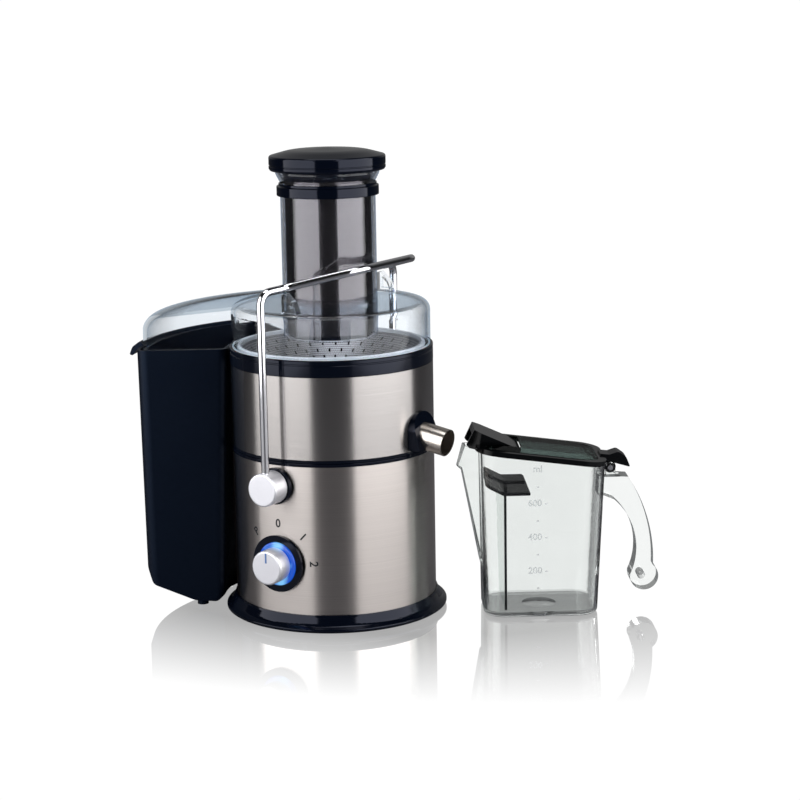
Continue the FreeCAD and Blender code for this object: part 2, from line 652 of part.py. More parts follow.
def sector_wire(r_out, r_in, a_out, a_in, c_out, c_in, z):
    """Annular sector about -X with rounded corners, as one closed wire."""
    def polar(radius, angle):
        return V(-radius * math.cos(angle), radius * math.sin(angle), z)

    da = c_out / r_out
    di = c_in / r_in
    out_hi, out_lo = polar(r_out, a_out - da), polar(r_out, -(a_out - da))
    side_hi, side_lo = polar(r_out - c_out, a_out), polar(r_out - c_out, -a_out)
    in_side_hi, in_side_lo = polar(r_in + c_in, a_in), polar(r_in + c_in, -a_in)
    in_hi, in_lo = polar(r_in, a_in - di), polar(r_in, -(a_in - di))
    round_out = 0.29 * c_out
    round_in = 0.29 * c_in
    mid_hi = polar(r_out - round_out, a_out - round_out / r_out)
    mid_lo = polar(r_out - round_out, -(a_out - round_out / r_out))
    imid_hi = polar(r_in + round_in, a_in - round_in / r_in)
    imid_lo = polar(r_in + round_in, -(a_in - round_in / r_in))
    edges = [Part.Arc(out_lo, polar(r_out, 0), out_hi).toShape(),
             Part.Arc(out_hi, mid_hi, side_hi).toShape(),
             Part.LineSegment(side_hi, in_side_hi).toShape(),
             Part.Arc(in_side_hi, imid_hi, in_hi).toShape(),
             Part.Arc(in_hi, polar(r_in, 0), in_lo).toShape(),
             Part.Arc(in_lo, imid_lo, in_side_lo).toShape(),
             Part.LineSegment(in_side_lo, side_lo).toShape(),
             Part.Arc(side_lo, mid_lo, out_lo).toShape()]
    return Part.Wire(edges)


def pulp_container():
    """Open black bin beside the body, with a hooked grip lip and small feet."""
    outer = bin_solid(0.0, 0.0, BIN_RIM_Z).cut(bin_floor_cut(0.0))
    inner = bin_solid(BIN_WALL, 0.0, BIN_RIM_Z + 2.0).cut(bin_floor_cut(BIN_WALL))
    hook = ring_arc([(BIN_R - 1.6, 231.0), (BIN_R + 4.0, 231.6, 3), (BIN_R + 9.0, 225.6, 0.8),
                     (BIN_R + 11.8, 226.6, 1), (BIN_R + 9.0, 233.4, 5), (BIN_R + 3.4, 237.6, 1),
                     (BIN_R + 0.6, 237.6, 1), (BIN_R - 1.6, 234.8)], 46.0)
    shell = outer.cut(inner).fuse(turned(hook, 180 - 23.0))
    for side in (-1, 1):
        for radius, angle in ((122.0, 28.0), (126.0, 9.0)):
            nub = turned(cylinder(5.0, 0.0, 12.0, (-radius, 0)), side * angle)
            shell = shell.fuse(nub.cut(inner))
    return shell.removeSplitter()


def ring_arc(profile, angle):
    points = [(V(p[0], 0, p[1]), p[2] if len(p) > 2 else 0) for p in profile]
    return Part.Face(rounded_wire(points)).revolve(V(0, 0, 0), V(0, 0, 1), angle)


# ---- jug: modelled along +X at its own middle, then set beside the juicer ----
JUG_HALF_X = 51.5             # half length of the jug's base
JUG_HALF_Y = 36.0             # half width of the jug's base
JUG_WALL = 2.4
JUG_RIM_Z = 141.0             # rim height at the jug's middle
JUG_TILT = 7.6                # the rim falls this many degrees towards the handle
HINGE_X = 63.0
HINGE_Z = 127.5
LID_GAP = 0.4


def place_jug(shape):
    copy = turned(shape, JUG_TURN)
    copy.translate(JUG_AT)
    return copy


def tilted(shape):
    """Lay a part made on the flat at height 0 onto the jug's sloping rim."""
    return moved(turned(shape, JUG_TILT, V(0, 1, 0)), 0, 0, JUG_RIM_Z)


def jug_section(grow, z, corner):
    """Rounded rectangle of the jug's wall at one height."""
    x0 = -JUG_HALF_X - min(grow, 0.6)
    x1 = JUG_HALF_X + grow
    half_y = JUG_HALF_Y + grow * 0.7
    corners = [(x0, -half_y), (x1, -half_y), (x1, half_y), (x0, half_y)]
    return rounded_wire([(V(x, y, z), corner) for x, y in corners])


def jug_solid(inset, z0):
    return Part.makeLoft([jug_section(-1.2 - inset, z0, 19.0 - inset),
                          jug_section(6.5 - inset, 165.0, 20.0 - inset)], True, True)


def above_rim():
    return tilted(box((-150, -80, 0), (150, 80, 90)))


def beak(inset):
    """Pouring beak on the jug's -X side: a tapering trough that ends in a leaning lip."""
    root = -JUG_HALF_X + 3.0
    side = [(root, 40.0 + inset * 5), (root - 3.8 + inset, 42.7 + inset * 3), (-68.6 + inset, 128.0),
            (-72.3 + inset, 131.0), (-66.5 + inset * 1.4, 151.0), (-62.0, 170.0), (root, 170.0)]
    trough = plate(side, -20.0, 20.0)
    half = 17.0 - inset
    low = [V(root, -half, 0), V(-74.0 + inset * 2, -2.0, 0), V(-74.0 + inset * 2, 2.0, 0), V(root, half, 0)]
    plan = Part.Face(Part.makePolygon(low + [low[0]])).extrude(V(0, 0, 180.0))
    return trough.common(plan)


def jug_body():
    """Clear moulded jug with a sloping rim, a beak and a dimpled base."""
    outer = fillet_edges(jug_solid(0.0, 0.0), 3.5, lambda b: b.ZMax < 0.1)
    shell = outer.fuse(beak(0.0))
    shell = shell.cut(jug_solid(JUG_WALL, 5.0)).cut(beak(1.8)).cut(above_rim())
    return shell.cut(Part.makeSphere(40.0, V(0, 0, -37.0))).removeSplitter()


def jug_handle():
    """Open-ended curved handle, wide at the neck, with a hanging hole near its end."""
    face = JUG_HALF_X + 4.4
    start = V(face, 0, 103.0)
    neck = V(66.0, 0, 99.0)
    crown = V(78.6, 0, 119.0)
    edges = [Part.LineSegment(start, V(face + 0.6, 0, 120.5)).toShape(),
             Part.LineSegment(V(face + 0.6, 0, 120.5), crown).toShape(),
             Part.Arc(crown, V(96.5, 0, 79.0), V(101.0, 0, 38.0)).toShape(),
             Part.Arc(V(101.0, 0, 38.0), V(95.0, 0, 15.6), V(80.8, 0, 30.0)).toShape(),
             Part.Arc(V(80.8, 0, 30.0), V(85.0, 0, 66.0), neck).toShape(),
             Part.LineSegment(neck, start).toShape()]
    blade = Part.Face(Part.Wire(edges)).extrude(V(0, 20.0, 0))
    blade.translate(V(0, -10.0, 0))
    pocket = box((HINGE_X - 6.5, -5.2, HINGE_Z - 9.0), (HINGE_X + 9.0, 5.2, 140.0))
    blade = blade.cut(pocket)
    for side in (-1, 1):
        ear = along_y(4.2, side * 5.2, side * 10.0, HINGE_X, HINGE_Z)
        near, far = sorted((side * 5.2, side * 10.0))
        web = box((HINGE_X - 4.2, near, 117.0), (HINGE_X + 4.2, far, HINGE_Z))
        blade = blade.fuse(ear).fuse(web)
    blade = blade.cut(jug_solid(0.0, 0.0))
    blade = blade.cut(along_y(3.4, -15, 15, 90.5, 29.0))
    return blade.cut(along_y(2.3, -15, 15, HINGE_X, HINGE_Z)).removeSplitter()


def jug_hinge_pin():
    return along_y(2.2, -9.8, 9.8, HINGE_X, HINGE_Z)


def froth_separator():
    """Removable black plate on a clip, which holds foam back while pouring."""
    half_y = 33.0
    upper = plate([(-49.0, 128.0, 1), (-33.0, 120.5, 1), (-15.0, 120.5, 1), (-15.0, 123.4, 1),
                   (-32.4, 123.4, 1), (-49.0, 131.2, 1)], -half_y, -half_y + 26.0)
    lower = plate([(-48.6, 118.0, 1), (-33.0, 110.0, 1), (-10.0, 110.0, 1), (-10.0, 112.8, 1),
                   (-32.4, 112.8, 1), (-48.6, 121.0, 1)], -half_y, half_y)
    post = box((-33.0, -half_y, 110.5), (-30.4, -half_y + 3.0, 122.6))
    blade = box((-33.0, -half_y, 7.0), (-31.0, half_y - 1.0, 111.0))
    return fused([upper, lower, post, blade]).common(jug_solid(JUG_WALL + 0.5, 6.0))


LID_HALF_X = 57.5
LID_HALF_Y = 40.5
SCOOP_X = -LID_HALF_X - 6.0   # where the pouring scoop's face stands
SCOOP_END = -18.0             # where its slope runs out on the lid
SCOOP_HALF_Y = 21.0


def lid_outline(grow, z, corner=19.0):
    corners = [(-LID_HALF_X - grow, -LID_HALF_Y - grow), (LID_HALF_X + grow, -LID_HALF_Y - grow),
               (LID_HALF_X + grow, LID_HALF_Y + grow), (-LID_HALF_X - grow, LID_HALF_Y + grow)]
    return rounded_wire([(V(x, y, z), corner) for x, y in corners])


def jug_lid():
    """Black lid frame with a raised pouring scoop, a thumb tab and a hinge knuckle."""
    frame = Part.Face(lid_outline(0.0, LID_GAP)).extrude(V(0, 0, 4.4))
    hole = Part.Face(lid_outline(-7.0, -5.0, 13.0)).extrude(V(0, 0, 30.0))
    hole = hole.cut(box((-80, -SCOOP_HALF_Y - 1.0, -10), (SCOOP_END, SCOOP_HALF_Y + 1.0, 40)))
    frame = frame.cut(hole).fuse(beak_cover()).cut(beak_mouth())
    frame = tilted(frame)
    tab = plate([(54.0, 134.6), (61.0, 133.2, 1), (80.6, 127.6, 0.8), (77.0, 136.6, 4), (70.0, 141.8, 4),
                 (62.0, 139.2, 3), (54.0, 140.2)], -9.0, 9.0)
    neck = box((HINGE_X - 3.6, -4.8, HINGE_Z), (HINGE_X + 3.6, 4.8, 135.5))
    knuckle = along_y(5.2, -4.8, 4.8, HINGE_X, HINGE_Z)
    whole = fused([frame, tab, neck, knuckle])
    return whole.cut(along_y(2.24, -15, 15, HINGE_X, HINGE_Z)).removeSplitter()


def beak_cover():
    """Raised wedge over the jug's beak."""
    wedge = plate([(SCOOP_END, LID_GAP), (SCOOP_END, LID_GAP + 4.4), (SCOOP_X + 3.5, 17.4, 0.8),
                   (SCOOP_X - 1.6, 2.6, 1.0), (SCOOP_X + 1.0, LID_GAP)], -SCOOP_HALF_Y, SCOOP_HALF_Y)
    plan = slab([(SCOOP_END, -SCOOP_HALF_Y), (SCOOP_END, SCOOP_HALF_Y),
                 (-LID_HALF_X + 4.0, SCOOP_HALF_Y, 8), (SCOOP_X - 6.0, 13.0, 5),
                 (SCOOP_X - 6.0, -13.0, 5), (-LID_HALF_X + 4.0, -SCOOP_HALF_Y, 8)], -2.0, 40.0)
    return wedge.common(plan)


def beak_mouth():
    """The hollow under the wedge, open at the pouring lip."""
    return plate([(-20.0, -1), (-20.0, LID_GAP + 0.4), (SCOOP_X + 5.6, 14.2), (SCOOP_X - 4.0, 10.0),
                  (SCOOP_X - 4.0, -1)], -12.5, 12.5)


def window_wire(inset, z):
    x0, x1 = -LID_HALF_X + 7.3 + inset, LID_HALF_X - 7.3 - inset
    half_y = LID_HALF_Y - 7.3 - inset
    corners = [(x0, -half_y), (x1, -half_y), (x1, half_y), (x0, half_y)]
    return rounded_wire([(V(x, y, z), 12.5) for x, y in corners])


def jug_lid_window():
    """Smoky arched window that closes the lid frame."""
    levels = ((0.0, 1.5), (0.3, 5.0), (9.0, 7.4))
    outer = Part.makeLoft([window_wire(inset, z) for inset, z in levels], True, True)
    inner = Part.makeLoft([window_wire(inset + 2.0, z - 1.6) for inset, z in levels], True, True)
    notch = box((-90, -SCOOP_HALF_Y - 1.2, -10), (SCOOP_END + 0.2, SCOOP_HALF_Y + 1.2, 40))
    return tilted(outer.cut(inner).cut(notch))


# ---- write every node ----
NODES = {
    "motor_housing": motor_housing, "housing_steel_sleeve": housing_steel_sleeve, "base_ring": base_ring,
    "bottom_plate": bottom_plate, "foot_ring": foot_ring, "bottom_screws": bottom_screws,
    "deck_cover": deck_cover, "cord_inlet": cord_inlet, "pivot_bosses": pivot_bosses,
    "speed_switch": speed_switch, "switch_bezel": switch_bezel, "led_ring": led_ring, "led_board": led_board,
    "speed_knob": speed_knob, "knob_pointer": knob_pointer, "switch_spindle": switch_spindle,
    "safety_switch": safety_switch, "control_board": control_board,
    "motor_stator": motor_stator, "field_windings": field_windings,
    "lower_bearing": lambda: bearing(25.0, 34.0), "upper_bearing": lambda: bearing(127.0, 136.0),
    "lower_bracket": lambda: end_bracket(20.0, 56.0, 22.0, 36.0),
    "upper_bracket": lambda: end_bracket(126.0, 136.0, 126.0, 137.5),
    "carbon_brushes": carbon_brushes, "brush_holders": brush_holders, "motor_mounts": motor_mounts,
    "shaft_seal": shaft_seal,
    "motor_shaft": motor_shaft, "armature_core": armature_core, "commutator": commutator,
    "cooling_fan": cooling_fan, "drive_coupling": drive_coupling, "basket_hub": basket_hub,
    "grater_disc": grater_disc, "filter_basket": filter_basket, "basket_rim": basket_rim,
    "juice_collector": juice_collector, "collector_steel_sleeve": collector_steel_sleeve,
    "spout_hood": spout_hood, "spout_tube": spout_tube,
    "lid": lid, "feed_tube": feed_tube, "tube_trim_ring": tube_trim_ring, "lid_seal": lid_seal,
    "pusher_head": pusher_head, "pusher_body": pusher_body, "pusher_tip": pusher_tip,
    "handle_rod": handle_rod,
    "front_pivot_knob": lambda: pivot_knob(-1), "rear_pivot_knob": lambda: pivot_knob(1),
    "pivot_pins": lambda: [pivot_pin(-1), pivot_pin(1)],
    "pulp_container": pulp_container,
}
JUG_NODES = {
    "jug_body": jug_body, "jug_handle": jug_handle, "jug_hinge_pin": jug_hinge_pin,
    "froth_separator": froth_separator, "jug_lid": jug_lid, "jug_lid_window": jug_lid_window,
}

os.makedirs("parts", exist_ok=True)
for node, build in NODES.items():
    save(node, build())
for node, build in JUG_NODES.items():
    save(node, place_jug(build()))
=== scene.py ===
import math
import bpy
from mathutils import Matrix, Vector


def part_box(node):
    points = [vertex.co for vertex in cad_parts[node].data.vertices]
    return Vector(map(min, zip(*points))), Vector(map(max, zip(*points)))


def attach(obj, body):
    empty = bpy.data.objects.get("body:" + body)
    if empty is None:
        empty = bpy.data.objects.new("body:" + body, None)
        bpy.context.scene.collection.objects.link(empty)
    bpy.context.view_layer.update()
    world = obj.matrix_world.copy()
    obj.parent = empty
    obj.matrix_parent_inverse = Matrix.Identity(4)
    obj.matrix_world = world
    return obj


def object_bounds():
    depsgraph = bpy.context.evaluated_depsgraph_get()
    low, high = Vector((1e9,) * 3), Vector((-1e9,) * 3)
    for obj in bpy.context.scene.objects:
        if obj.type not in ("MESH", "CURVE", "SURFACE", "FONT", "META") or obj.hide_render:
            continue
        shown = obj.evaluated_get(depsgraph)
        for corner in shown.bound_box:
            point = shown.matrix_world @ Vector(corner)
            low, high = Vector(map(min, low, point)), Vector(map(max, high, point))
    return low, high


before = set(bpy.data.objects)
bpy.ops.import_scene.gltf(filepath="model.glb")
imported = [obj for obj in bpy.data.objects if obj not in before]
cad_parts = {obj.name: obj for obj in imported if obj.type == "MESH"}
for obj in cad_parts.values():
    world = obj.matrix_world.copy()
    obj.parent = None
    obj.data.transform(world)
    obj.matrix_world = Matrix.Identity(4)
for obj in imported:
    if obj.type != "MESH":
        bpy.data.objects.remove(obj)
cad_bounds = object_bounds()


# ---- base ring, floor plate and foot ring ----
# Flared black ring moulded in glossy ABS, with a matt floor plate inside it held by four screws.
# A notched rubber ring under the plate is the foot, and the cord's rubber inlet sits at the back.
def rgb(red, green, blue):
    """Linear colour from 0-255 display values."""
    shares = [value / 255 for value in (red, green, blue)]
    return [(v / 12.92 if v * 255 <= 10 else ((v + 0.055) / 1.055) ** 2.4) for v in shares] + [1]


def surface_group(name, inputs):
    """Shader node group that puts out colour, roughness and normal; returns it and its two ends."""
    group = bpy.data.node_groups.new(name, "ShaderNodeTree")
    for label, kind, value in inputs:
        socket = group.interface.new_socket(label, in_out="INPUT", socket_type="NodeSocket" + kind)
        socket.default_value = value
    for label, kind in (("Colour", "Color"), ("Roughness", "Float"), ("Normal", "Vector")):
        group.interface.new_socket(label, in_out="OUTPUT", socket_type="NodeSocket" + kind)
    return group, group.nodes.new("NodeGroupInput"), group.nodes.new("NodeGroupOutput")


def add(tree, kind, links=(), **settings):
    """New node in a tree, its settings given by name and its inputs linked or set by index or name."""
    node = tree.nodes.new(kind)
    for key, value in settings.items():
        setattr(node, key, value)
    for socket, source in links:
        if isinstance(source, bpy.types.NodeSocket):
            tree.links.new(source, node.inputs[socket])
        else:
            node.inputs[socket].default_value = source
    return node


def maths(tree, operation, *values, **settings):
    """Output of a maths node whose inputs are given in order."""
    return add(tree, "ShaderNodeMath", enumerate(values), operation=operation, **settings).outputs[0]


def scaled(tree, colour, share):
    """Output of a node that multiplies a colour by a number."""
    return add(tree, "ShaderNodeVectorMath", [(0, colour), ("Scale", share)],
               operation="SCALE").outputs[0]


def put_out(group, made, colour, roughness, normal):
    """Links a surface group's three outputs."""
    for label, source in (("Colour", colour), ("Roughness", roughness), ("Normal", normal)):
        group.links.new(source, made.inputs[label])


moulded, given, made = surface_group(
    "moulded_plastic",
    [("Colour", "Color", (0.02, 0.02, 0.02, 1)), ("Roughness", "Float", 0.3), ("Grain", "Float", 0.1),
     ("Grain size", "Float", 2500.0), ("Flow", "Float", 0.02)])
place = add(moulded, "ShaderNodeTexCoord").outputs["Object"]
grain = add(moulded, "ShaderNodeTexNoise", [("Vector", place), ("Scale", given.outputs["Grain size"]),
                                            ("Detail", 3.0)])
flow = add(moulded, "ShaderNodeTexNoise", [("Vector", place), ("Scale", 22.0), ("Detail", 2.0)])
rough = maths(moulded, "MULTIPLY_ADD", flow.outputs["Fac"], 0.25, 0.875)
rough = maths(moulded, "MULTIPLY", rough, given.outputs["Roughness"])
shade = maths(moulded, "MULTIPLY_ADD", grain.outputs["Fac"], 0.3, 0.85)
colour = scaled(moulded, given.outputs["Colour"], shade)
wave = add(moulded, "ShaderNodeBump", [("Strength", given.outputs["Flow"]), ("Distance", 0.004),
                                       ("Height", flow.outputs["Fac"])])
bump = add(moulded, "ShaderNodeBump", [("Strength", given.outputs["Grain"]), ("Distance", 0.0002),
                                       ("Height", grain.outputs["Fac"]), ("Normal", wave.outputs[0])])
put_out(moulded, made, colour, rough, bump.outputs[0])


def finish(name, group, values, constants=()):
    """Material whose colour, roughness and normal come from a shared group."""
    material = bpy.data.materials.new(name)
    material.use_nodes = True
    tree = material.node_tree
    effect = add(tree, "ShaderNodeGroup", node_tree=group)
    for label, value in values.items():
        effect.inputs[label].default_value = value
    shader = tree.nodes["Principled BSDF"]
    tree.links.new(effect.outputs["Colour"], shader.inputs["Base Color"])
    tree.links.new(effect.outputs["Roughness"], shader.inputs["Roughness"])
    tree.links.new(effect.outputs["Normal"], shader.inputs["Normal"])
    for label, value in dict(constants).items():
        shader.inputs[label].default_value = value
    return material


def dress(material, slot, *names):
    """Gives CAD nodes their material. The slot argument is not used."""
    for name in names:
        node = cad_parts[name]
        node.data.materials.clear()
        node.data.materials.append(material)


gloss_black = finish("gloss_black_abs", moulded,
                     {"Colour": rgb(4, 7, 16), "Roughness": 0.09, "Grain": 0.01, "Flow": 0.02},
                     {"Specular IOR Level": 0.26, "Specular Tint": rgb(214, 220, 246)})
dress(gloss_black, "gloss_black", "base_ring")
satin_black = finish("satin_black_pp", moulded,
                     {"Colour": rgb(20, 24, 34), "Roughness": 0.42, "Grain": 0.25, "Grain size": 2200.0})
dress(satin_black, "satin_black", "bottom_plate")
rubber = finish("black_rubber", moulded,
                {"Colour": rgb(24, 24, 26), "Roughness": 0.75, "Grain": 0.35, "Grain size": 3500.0})
dress(rubber, "rubber", "foot_ring", "cord_inlet")
screw_steel = finish("zinc_screws", moulded,
                     {"Colour": rgb(190, 190, 196), "Roughness": 0.34, "Grain": 0.2}, {"Metallic": 1.0})
dress(screw_steel, "screw_steel", "bottom_screws")


# ---- motor housing and its steel sleeve ----
# The housing is a black moulded drum. A thin stainless sheet is rolled round it and brushed along
# its length, so the brush lines run round the drum and light is drawn out up and down it.
brushed, given, made = surface_group(
    "brushed_steel",
    [("Colour", "Color", (0.6, 0.6, 0.6, 1)), ("Roughness", "Float", 0.3), ("Lines", "Float", 0.1),
     ("Stretch", "Vector", (6.0, 6.0, 2600.0))])
place = add(brushed, "ShaderNodeTexCoord").outputs["Object"]
drawn = add(brushed, "ShaderNodeVectorMath", [(0, place), (1, given.outputs["Stretch"])],
            operation="MULTIPLY")
line = add(brushed, "ShaderNodeTexNoise", [("Vector", drawn.outputs[0]), ("Scale", 1.0), ("Detail", 4.0)])
smear = add(brushed, "ShaderNodeTexNoise", [("Vector", place), ("Scale", 14.0), ("Detail", 3.0)])
rough = maths(brushed, "MULTIPLY_ADD", smear.outputs["Fac"], 0.06, 0.97)
rough = maths(brushed, "MULTIPLY", rough, given.outputs["Roughness"])
shade = maths(brushed, "MULTIPLY_ADD", line.outputs["Fac"], 0.22, 0.89)
colour = scaled(brushed, given.outputs["Colour"], shade)
bump = add(brushed, "ShaderNodeBump", [("Strength", given.outputs["Lines"]), ("Distance", 0.0001),
                                       ("Height", line.outputs["Fac"])])
put_out(brushed, made, colour, rough, bump.outputs[0])


def brushed_round(name, values, anisotropy):
    """Brushed steel whose lines run round the Z axis."""
    material = finish(name, brushed, values,
                      {"Metallic": 1.0, "Anisotropic": anisotropy, "Anisotropic Rotation": 0.25})
    tree = material.node_tree
    tangent = add(tree, "ShaderNodeTangent", direction_type="RADIAL", axis="Z")
    tree.links.new(tangent.outputs[0], tree.nodes["Principled BSDF"].inputs["Tangent"])
    return material


sleeve_steel = brushed_round("brushed_sleeve",
                             {"Colour": rgb(198, 191, 187), "Roughness": 0.28, "Lines": 0.12}, 0.9)
dress(sleeve_steel, "steel", "housing_steel_sleeve")
dress(satin_black, "satin_black", "motor_housing")
dress(gloss_black, "gloss_black", "deck_cover", "pivot_bosses")


# ---- speed dial ----
# A pressed-in knob with a satin metal cap turns inside a clear ring lit blue by a small board.
# The marks round it, P, 0, 1 and 2, are printed on the steel.
spun, given, made = surface_group(
    "spun_metal",
    [("Colour", "Color", (0.8, 0.8, 0.8, 1)), ("Roughness", "Float", 0.3), ("Rings", "Float", 0.1),
     ("Centre", "Vector", (0.0, 0.0, 0.0))])
place = add(spun, "ShaderNodeTexCoord").outputs["Object"]
offset = add(spun, "ShaderNodeVectorMath", [(0, place), (1, given.outputs["Centre"])],
             operation="SUBTRACT")
flat = add(spun, "ShaderNodeVectorMath", [(0, offset.outputs[0]), (1, (1.0, 0.0, 1.0))],
           operation="MULTIPLY")
radius = add(spun, "ShaderNodeVectorMath", [(0, flat.outputs[0])], operation="LENGTH")
ringed = add(spun, "ShaderNodeTexNoise", [("W", radius.outputs["Value"]), ("Scale", 4200.0),
                                          ("Detail", 2.0)], noise_dimensions="1D")
shade = maths(spun, "MULTIPLY_ADD", ringed.outputs["Fac"], 0.14, 0.93)
colour = scaled(spun, given.outputs["Colour"], shade)
bump = add(spun, "ShaderNodeBump", [("Strength", given.outputs["Rings"]), ("Distance", 0.0001),
                                    ("Height", ringed.outputs["Fac"])])
put_out(spun, made, colour, given.outputs["Roughness"], bump.outputs[0])


def satin_cap(name, piece):
    """Dresses a cap in satin metal, spun about its own middle."""
    low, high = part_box(piece)
    cap_metal = finish(name, spun,
                       {"Colour": rgb(236, 236, 242), "Roughness": 0.38, "Rings": 0.12,
                        "Centre": (low + high) / 2},
                       {"Metallic": 0.75, "Specular IOR Level": 0.6})
    dress(cap_metal, "satin_silver", piece)


satin_cap("dial_cap", "speed_knob")
pointer_dark = finish("pointer_ink", moulded,
                      {"Colour": rgb(84, 118, 178), "Roughness": 0.5, "Grain": 0.05})
dress(pointer_dark, "pointer_dark", "knob_pointer")
dress(gloss_black, "gloss_black", "switch_bezel")

led_blue = finish("lit_ring", moulded, {"Colour": rgb(8, 40, 110), "Roughness": 0.2, "Grain": 0.05},
                  {"Emission Strength": 0.9, "Coat Weight": 0.6})
tree = led_blue.node_tree
place = add(tree, "ShaderNodeTexCoord").outputs["Object"]
# The ring's blue glow is the LED board's own light; the pale blue patches this noise adds to the emission
# colour are painted highlights.
painted_highlight_spots = add(tree, "ShaderNodeTexNoise", [("Vector", place), ("Scale", 60.0), ("Detail", 1.0)])
glow_and_painted_highlight = add(tree, "ShaderNodeValToRGB", [("Fac", painted_highlight_spots.outputs["Fac"])])
glow_and_painted_highlight.color_ramp.elements[0].position = 0.44
glow_and_painted_highlight.color_ramp.elements[0].color = rgb(16, 78, 190)
glow_and_painted_highlight.color_ramp.elements[1].position = 0.62
glow_and_painted_highlight.color_ramp.elements[1].color = rgb(130, 205, 255)
tree.links.new(glow_and_painted_highlight.outputs["Color"], tree.nodes["Principled BSDF"].inputs["Emission Color"])
dress(led_blue, "led_blue", "led_ring")

INK_SIZE = 0.0104
INK_THICKNESS = 0.00012
INK_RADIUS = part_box("housing_steel_sleeve")[1].x + INK_THICKNESS
ink = finish("dial_ink", moulded, {"Colour": rgb(24, 24, 28), "Roughness": 0.55, "Grain": 0.05})


def lettering(name, text, size, shape):
    """Mesh of a line of text, centred, each point put through a shaping function."""
    curve = bpy.data.curves.new(name, "FONT")
    curve.body = text
    curve.size = size
    curve.align_x = "CENTER"
    curve.align_y = "CENTER"
    curve.resolution_u = 4
    curve.offset = size * 0.02
    holder = bpy.data.objects.new(name + "_line", curve)
    bpy.context.scene.collection.objects.link(holder)
    mesh = bpy.data.meshes.new_from_object(holder.evaluated_get(bpy.context.evaluated_depsgraph_get()))
    bpy.data.objects.remove(holder)
    for vertex in mesh.vertices:
        vertex.co = shape(vertex.co.x, vertex.co.y)
    piece = bpy.data.objects.new(name, mesh)
    bpy.context.scene.collection.objects.link(piece)
    return piece


def on_sleeve(across, up, turn):
    """Shaping function: text set at a point of the sleeve's front and turned clockwise."""
    cosine, sine = math.cos(turn), math.sin(turn)

    def shape(x, y):
        angle = (across + x * cosine + y * sine) / INK_RADIUS
        return (INK_RADIUS * math.sin(angle), -INK_RADIUS * math.cos(angle), up - x * sine + y * cosine)
    return shape


dial_low, dial_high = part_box("speed_knob")
dial_centre = (dial_low + dial_high) / 2
for mark, across, up, turn in (("P", -0.0255, 0.0245, -45), ("0", 0.0, 0.0350, 0),
                               ("1", 0.0235, 0.0250, 43), ("2", 0.0325, 0.0015, 90)):
    numeral = lettering("dial_mark_" + mark, mark, INK_SIZE,
                        on_sleeve(dial_centre.x + across, dial_centre.z + up, math.radians(turn)))
    numeral.data.materials.append(ink)
    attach(numeral, "base")


# ---- motor, switch and safety parts inside the housing ----
# A universal motor stands on rubber mounts between two cast brackets: laminated stator, copper
# field windings, carbon brushes in brass holders, and a wound core with commutator and fan.
layered, given, made = surface_group(
    "layered",
    [("Colour", "Color", (0.3, 0.3, 0.3, 1)), ("Gap colour", "Color", (0.1, 0.1, 0.1, 1)),
     ("Roughness", "Float", 0.4), ("Pitch", "Float", 500.0), ("Lean", "Float", 0.0)])
place = add(layered, "ShaderNodeTexCoord").outputs["Object"]
parts = add(layered, "ShaderNodeSeparateXYZ", [(0, place)])
level = maths(layered, "MULTIPLY_ADD", parts.outputs["X"], given.outputs["Lean"], parts.outputs["Z"])
phase = maths(layered, "MULTIPLY", level, given.outputs["Pitch"])
ripple = maths(layered, "WRAP", phase, 0.0, 1.0)
groove = add(layered, "ShaderNodeMapRange", [("Value", ripple), ("From Min", 0.0), ("From Max", 0.3)])
colour = add(layered, "ShaderNodeMix", [(0, groove.outputs[0]), (6, given.outputs["Gap colour"]),
                                        (7, given.outputs["Colour"])], data_type="RGBA")
bump = add(layered, "ShaderNodeBump", [("Strength", 0.4), ("Distance", 0.0003),
                                       ("Height", groove.outputs[0])])
put_out(layered, made, colour.outputs[2], given.outputs["Roughness"], bump.outputs[0])

lamination = finish("stator_laminations", layered,
                    {"Colour": rgb(150, 152, 156), "Gap colour": rgb(60, 62, 66), "Roughness": 0.45,
                     "Pitch": 1400.0},
                    {"Metallic": 0.9})
dress(lamination, "lamination", "motor_stator", "armature_core")
copper = finish("enamelled_copper", layered,
                {"Colour": rgb(196, 112, 62), "Gap colour": rgb(96, 44, 24), "Roughness": 0.3,
                 "Pitch": 1100.0,
                 "Lean": 0.35}, {"Metallic": 0.85})
dress(copper, "copper", "field_windings", "commutator")
carbon = finish("brush_carbon", moulded, {"Colour": rgb(48, 48, 50), "Roughness": 0.6, "Grain": 0.3})
dress(carbon, "carbon", "carbon_brushes")
brass = finish("bright_brass", moulded, {"Colour": rgb(214, 178, 104), "Roughness": 0.28, "Grain": 0.1},
               {"Metallic": 1.0})
dress(brass, "brass", "brush_holders", "switch_spindle")
bearing_steel = finish("bearing_steel", spun,
                       {"Colour": rgb(206, 206, 210), "Roughness": 0.2, "Rings": 0.1},
                       {"Metallic": 1.0})
dress(bearing_steel, "bearing_steel", "lower_bearing", "upper_bearing")
cast_metal = finish("cast_aluminium", moulded,
                    {"Colour": rgb(182, 183, 187), "Roughness": 0.55, "Grain": 0.5, "Grain size": 1200.0},
                    {"Metallic": 0.9})
dress(cast_metal, "cast_bracket", "lower_bracket", "upper_bracket")
shaft_steel = brushed_round("ground_steel",
                            {"Colour": rgb(200, 200, 205), "Roughness": 0.2, "Lines": 0.08}, 0.4)
dress(shaft_steel, "shaft_steel", "motor_shaft", "pivot_pins", "jug_hinge_pin")
dress(rubber, "rubber", "motor_mounts", "shaft_seal")
switch_plastic = finish("switch_plastic", moulded,
                        {"Colour": rgb(58, 58, 62), "Roughness": 0.4, "Grain": 0.2})
dress(switch_plastic, "switch_plastic", "speed_switch", "safety_switch")
fan_plastic = finish("fan_nylon", moulded,
                     {"Colour": rgb(226, 224, 214), "Roughness": 0.45, "Grain": 0.15},
                     {"Subsurface Weight": 0.1, "Subsurface Scale": 0.002})
dress(fan_plastic, "fan_plastic", "cooling_fan")
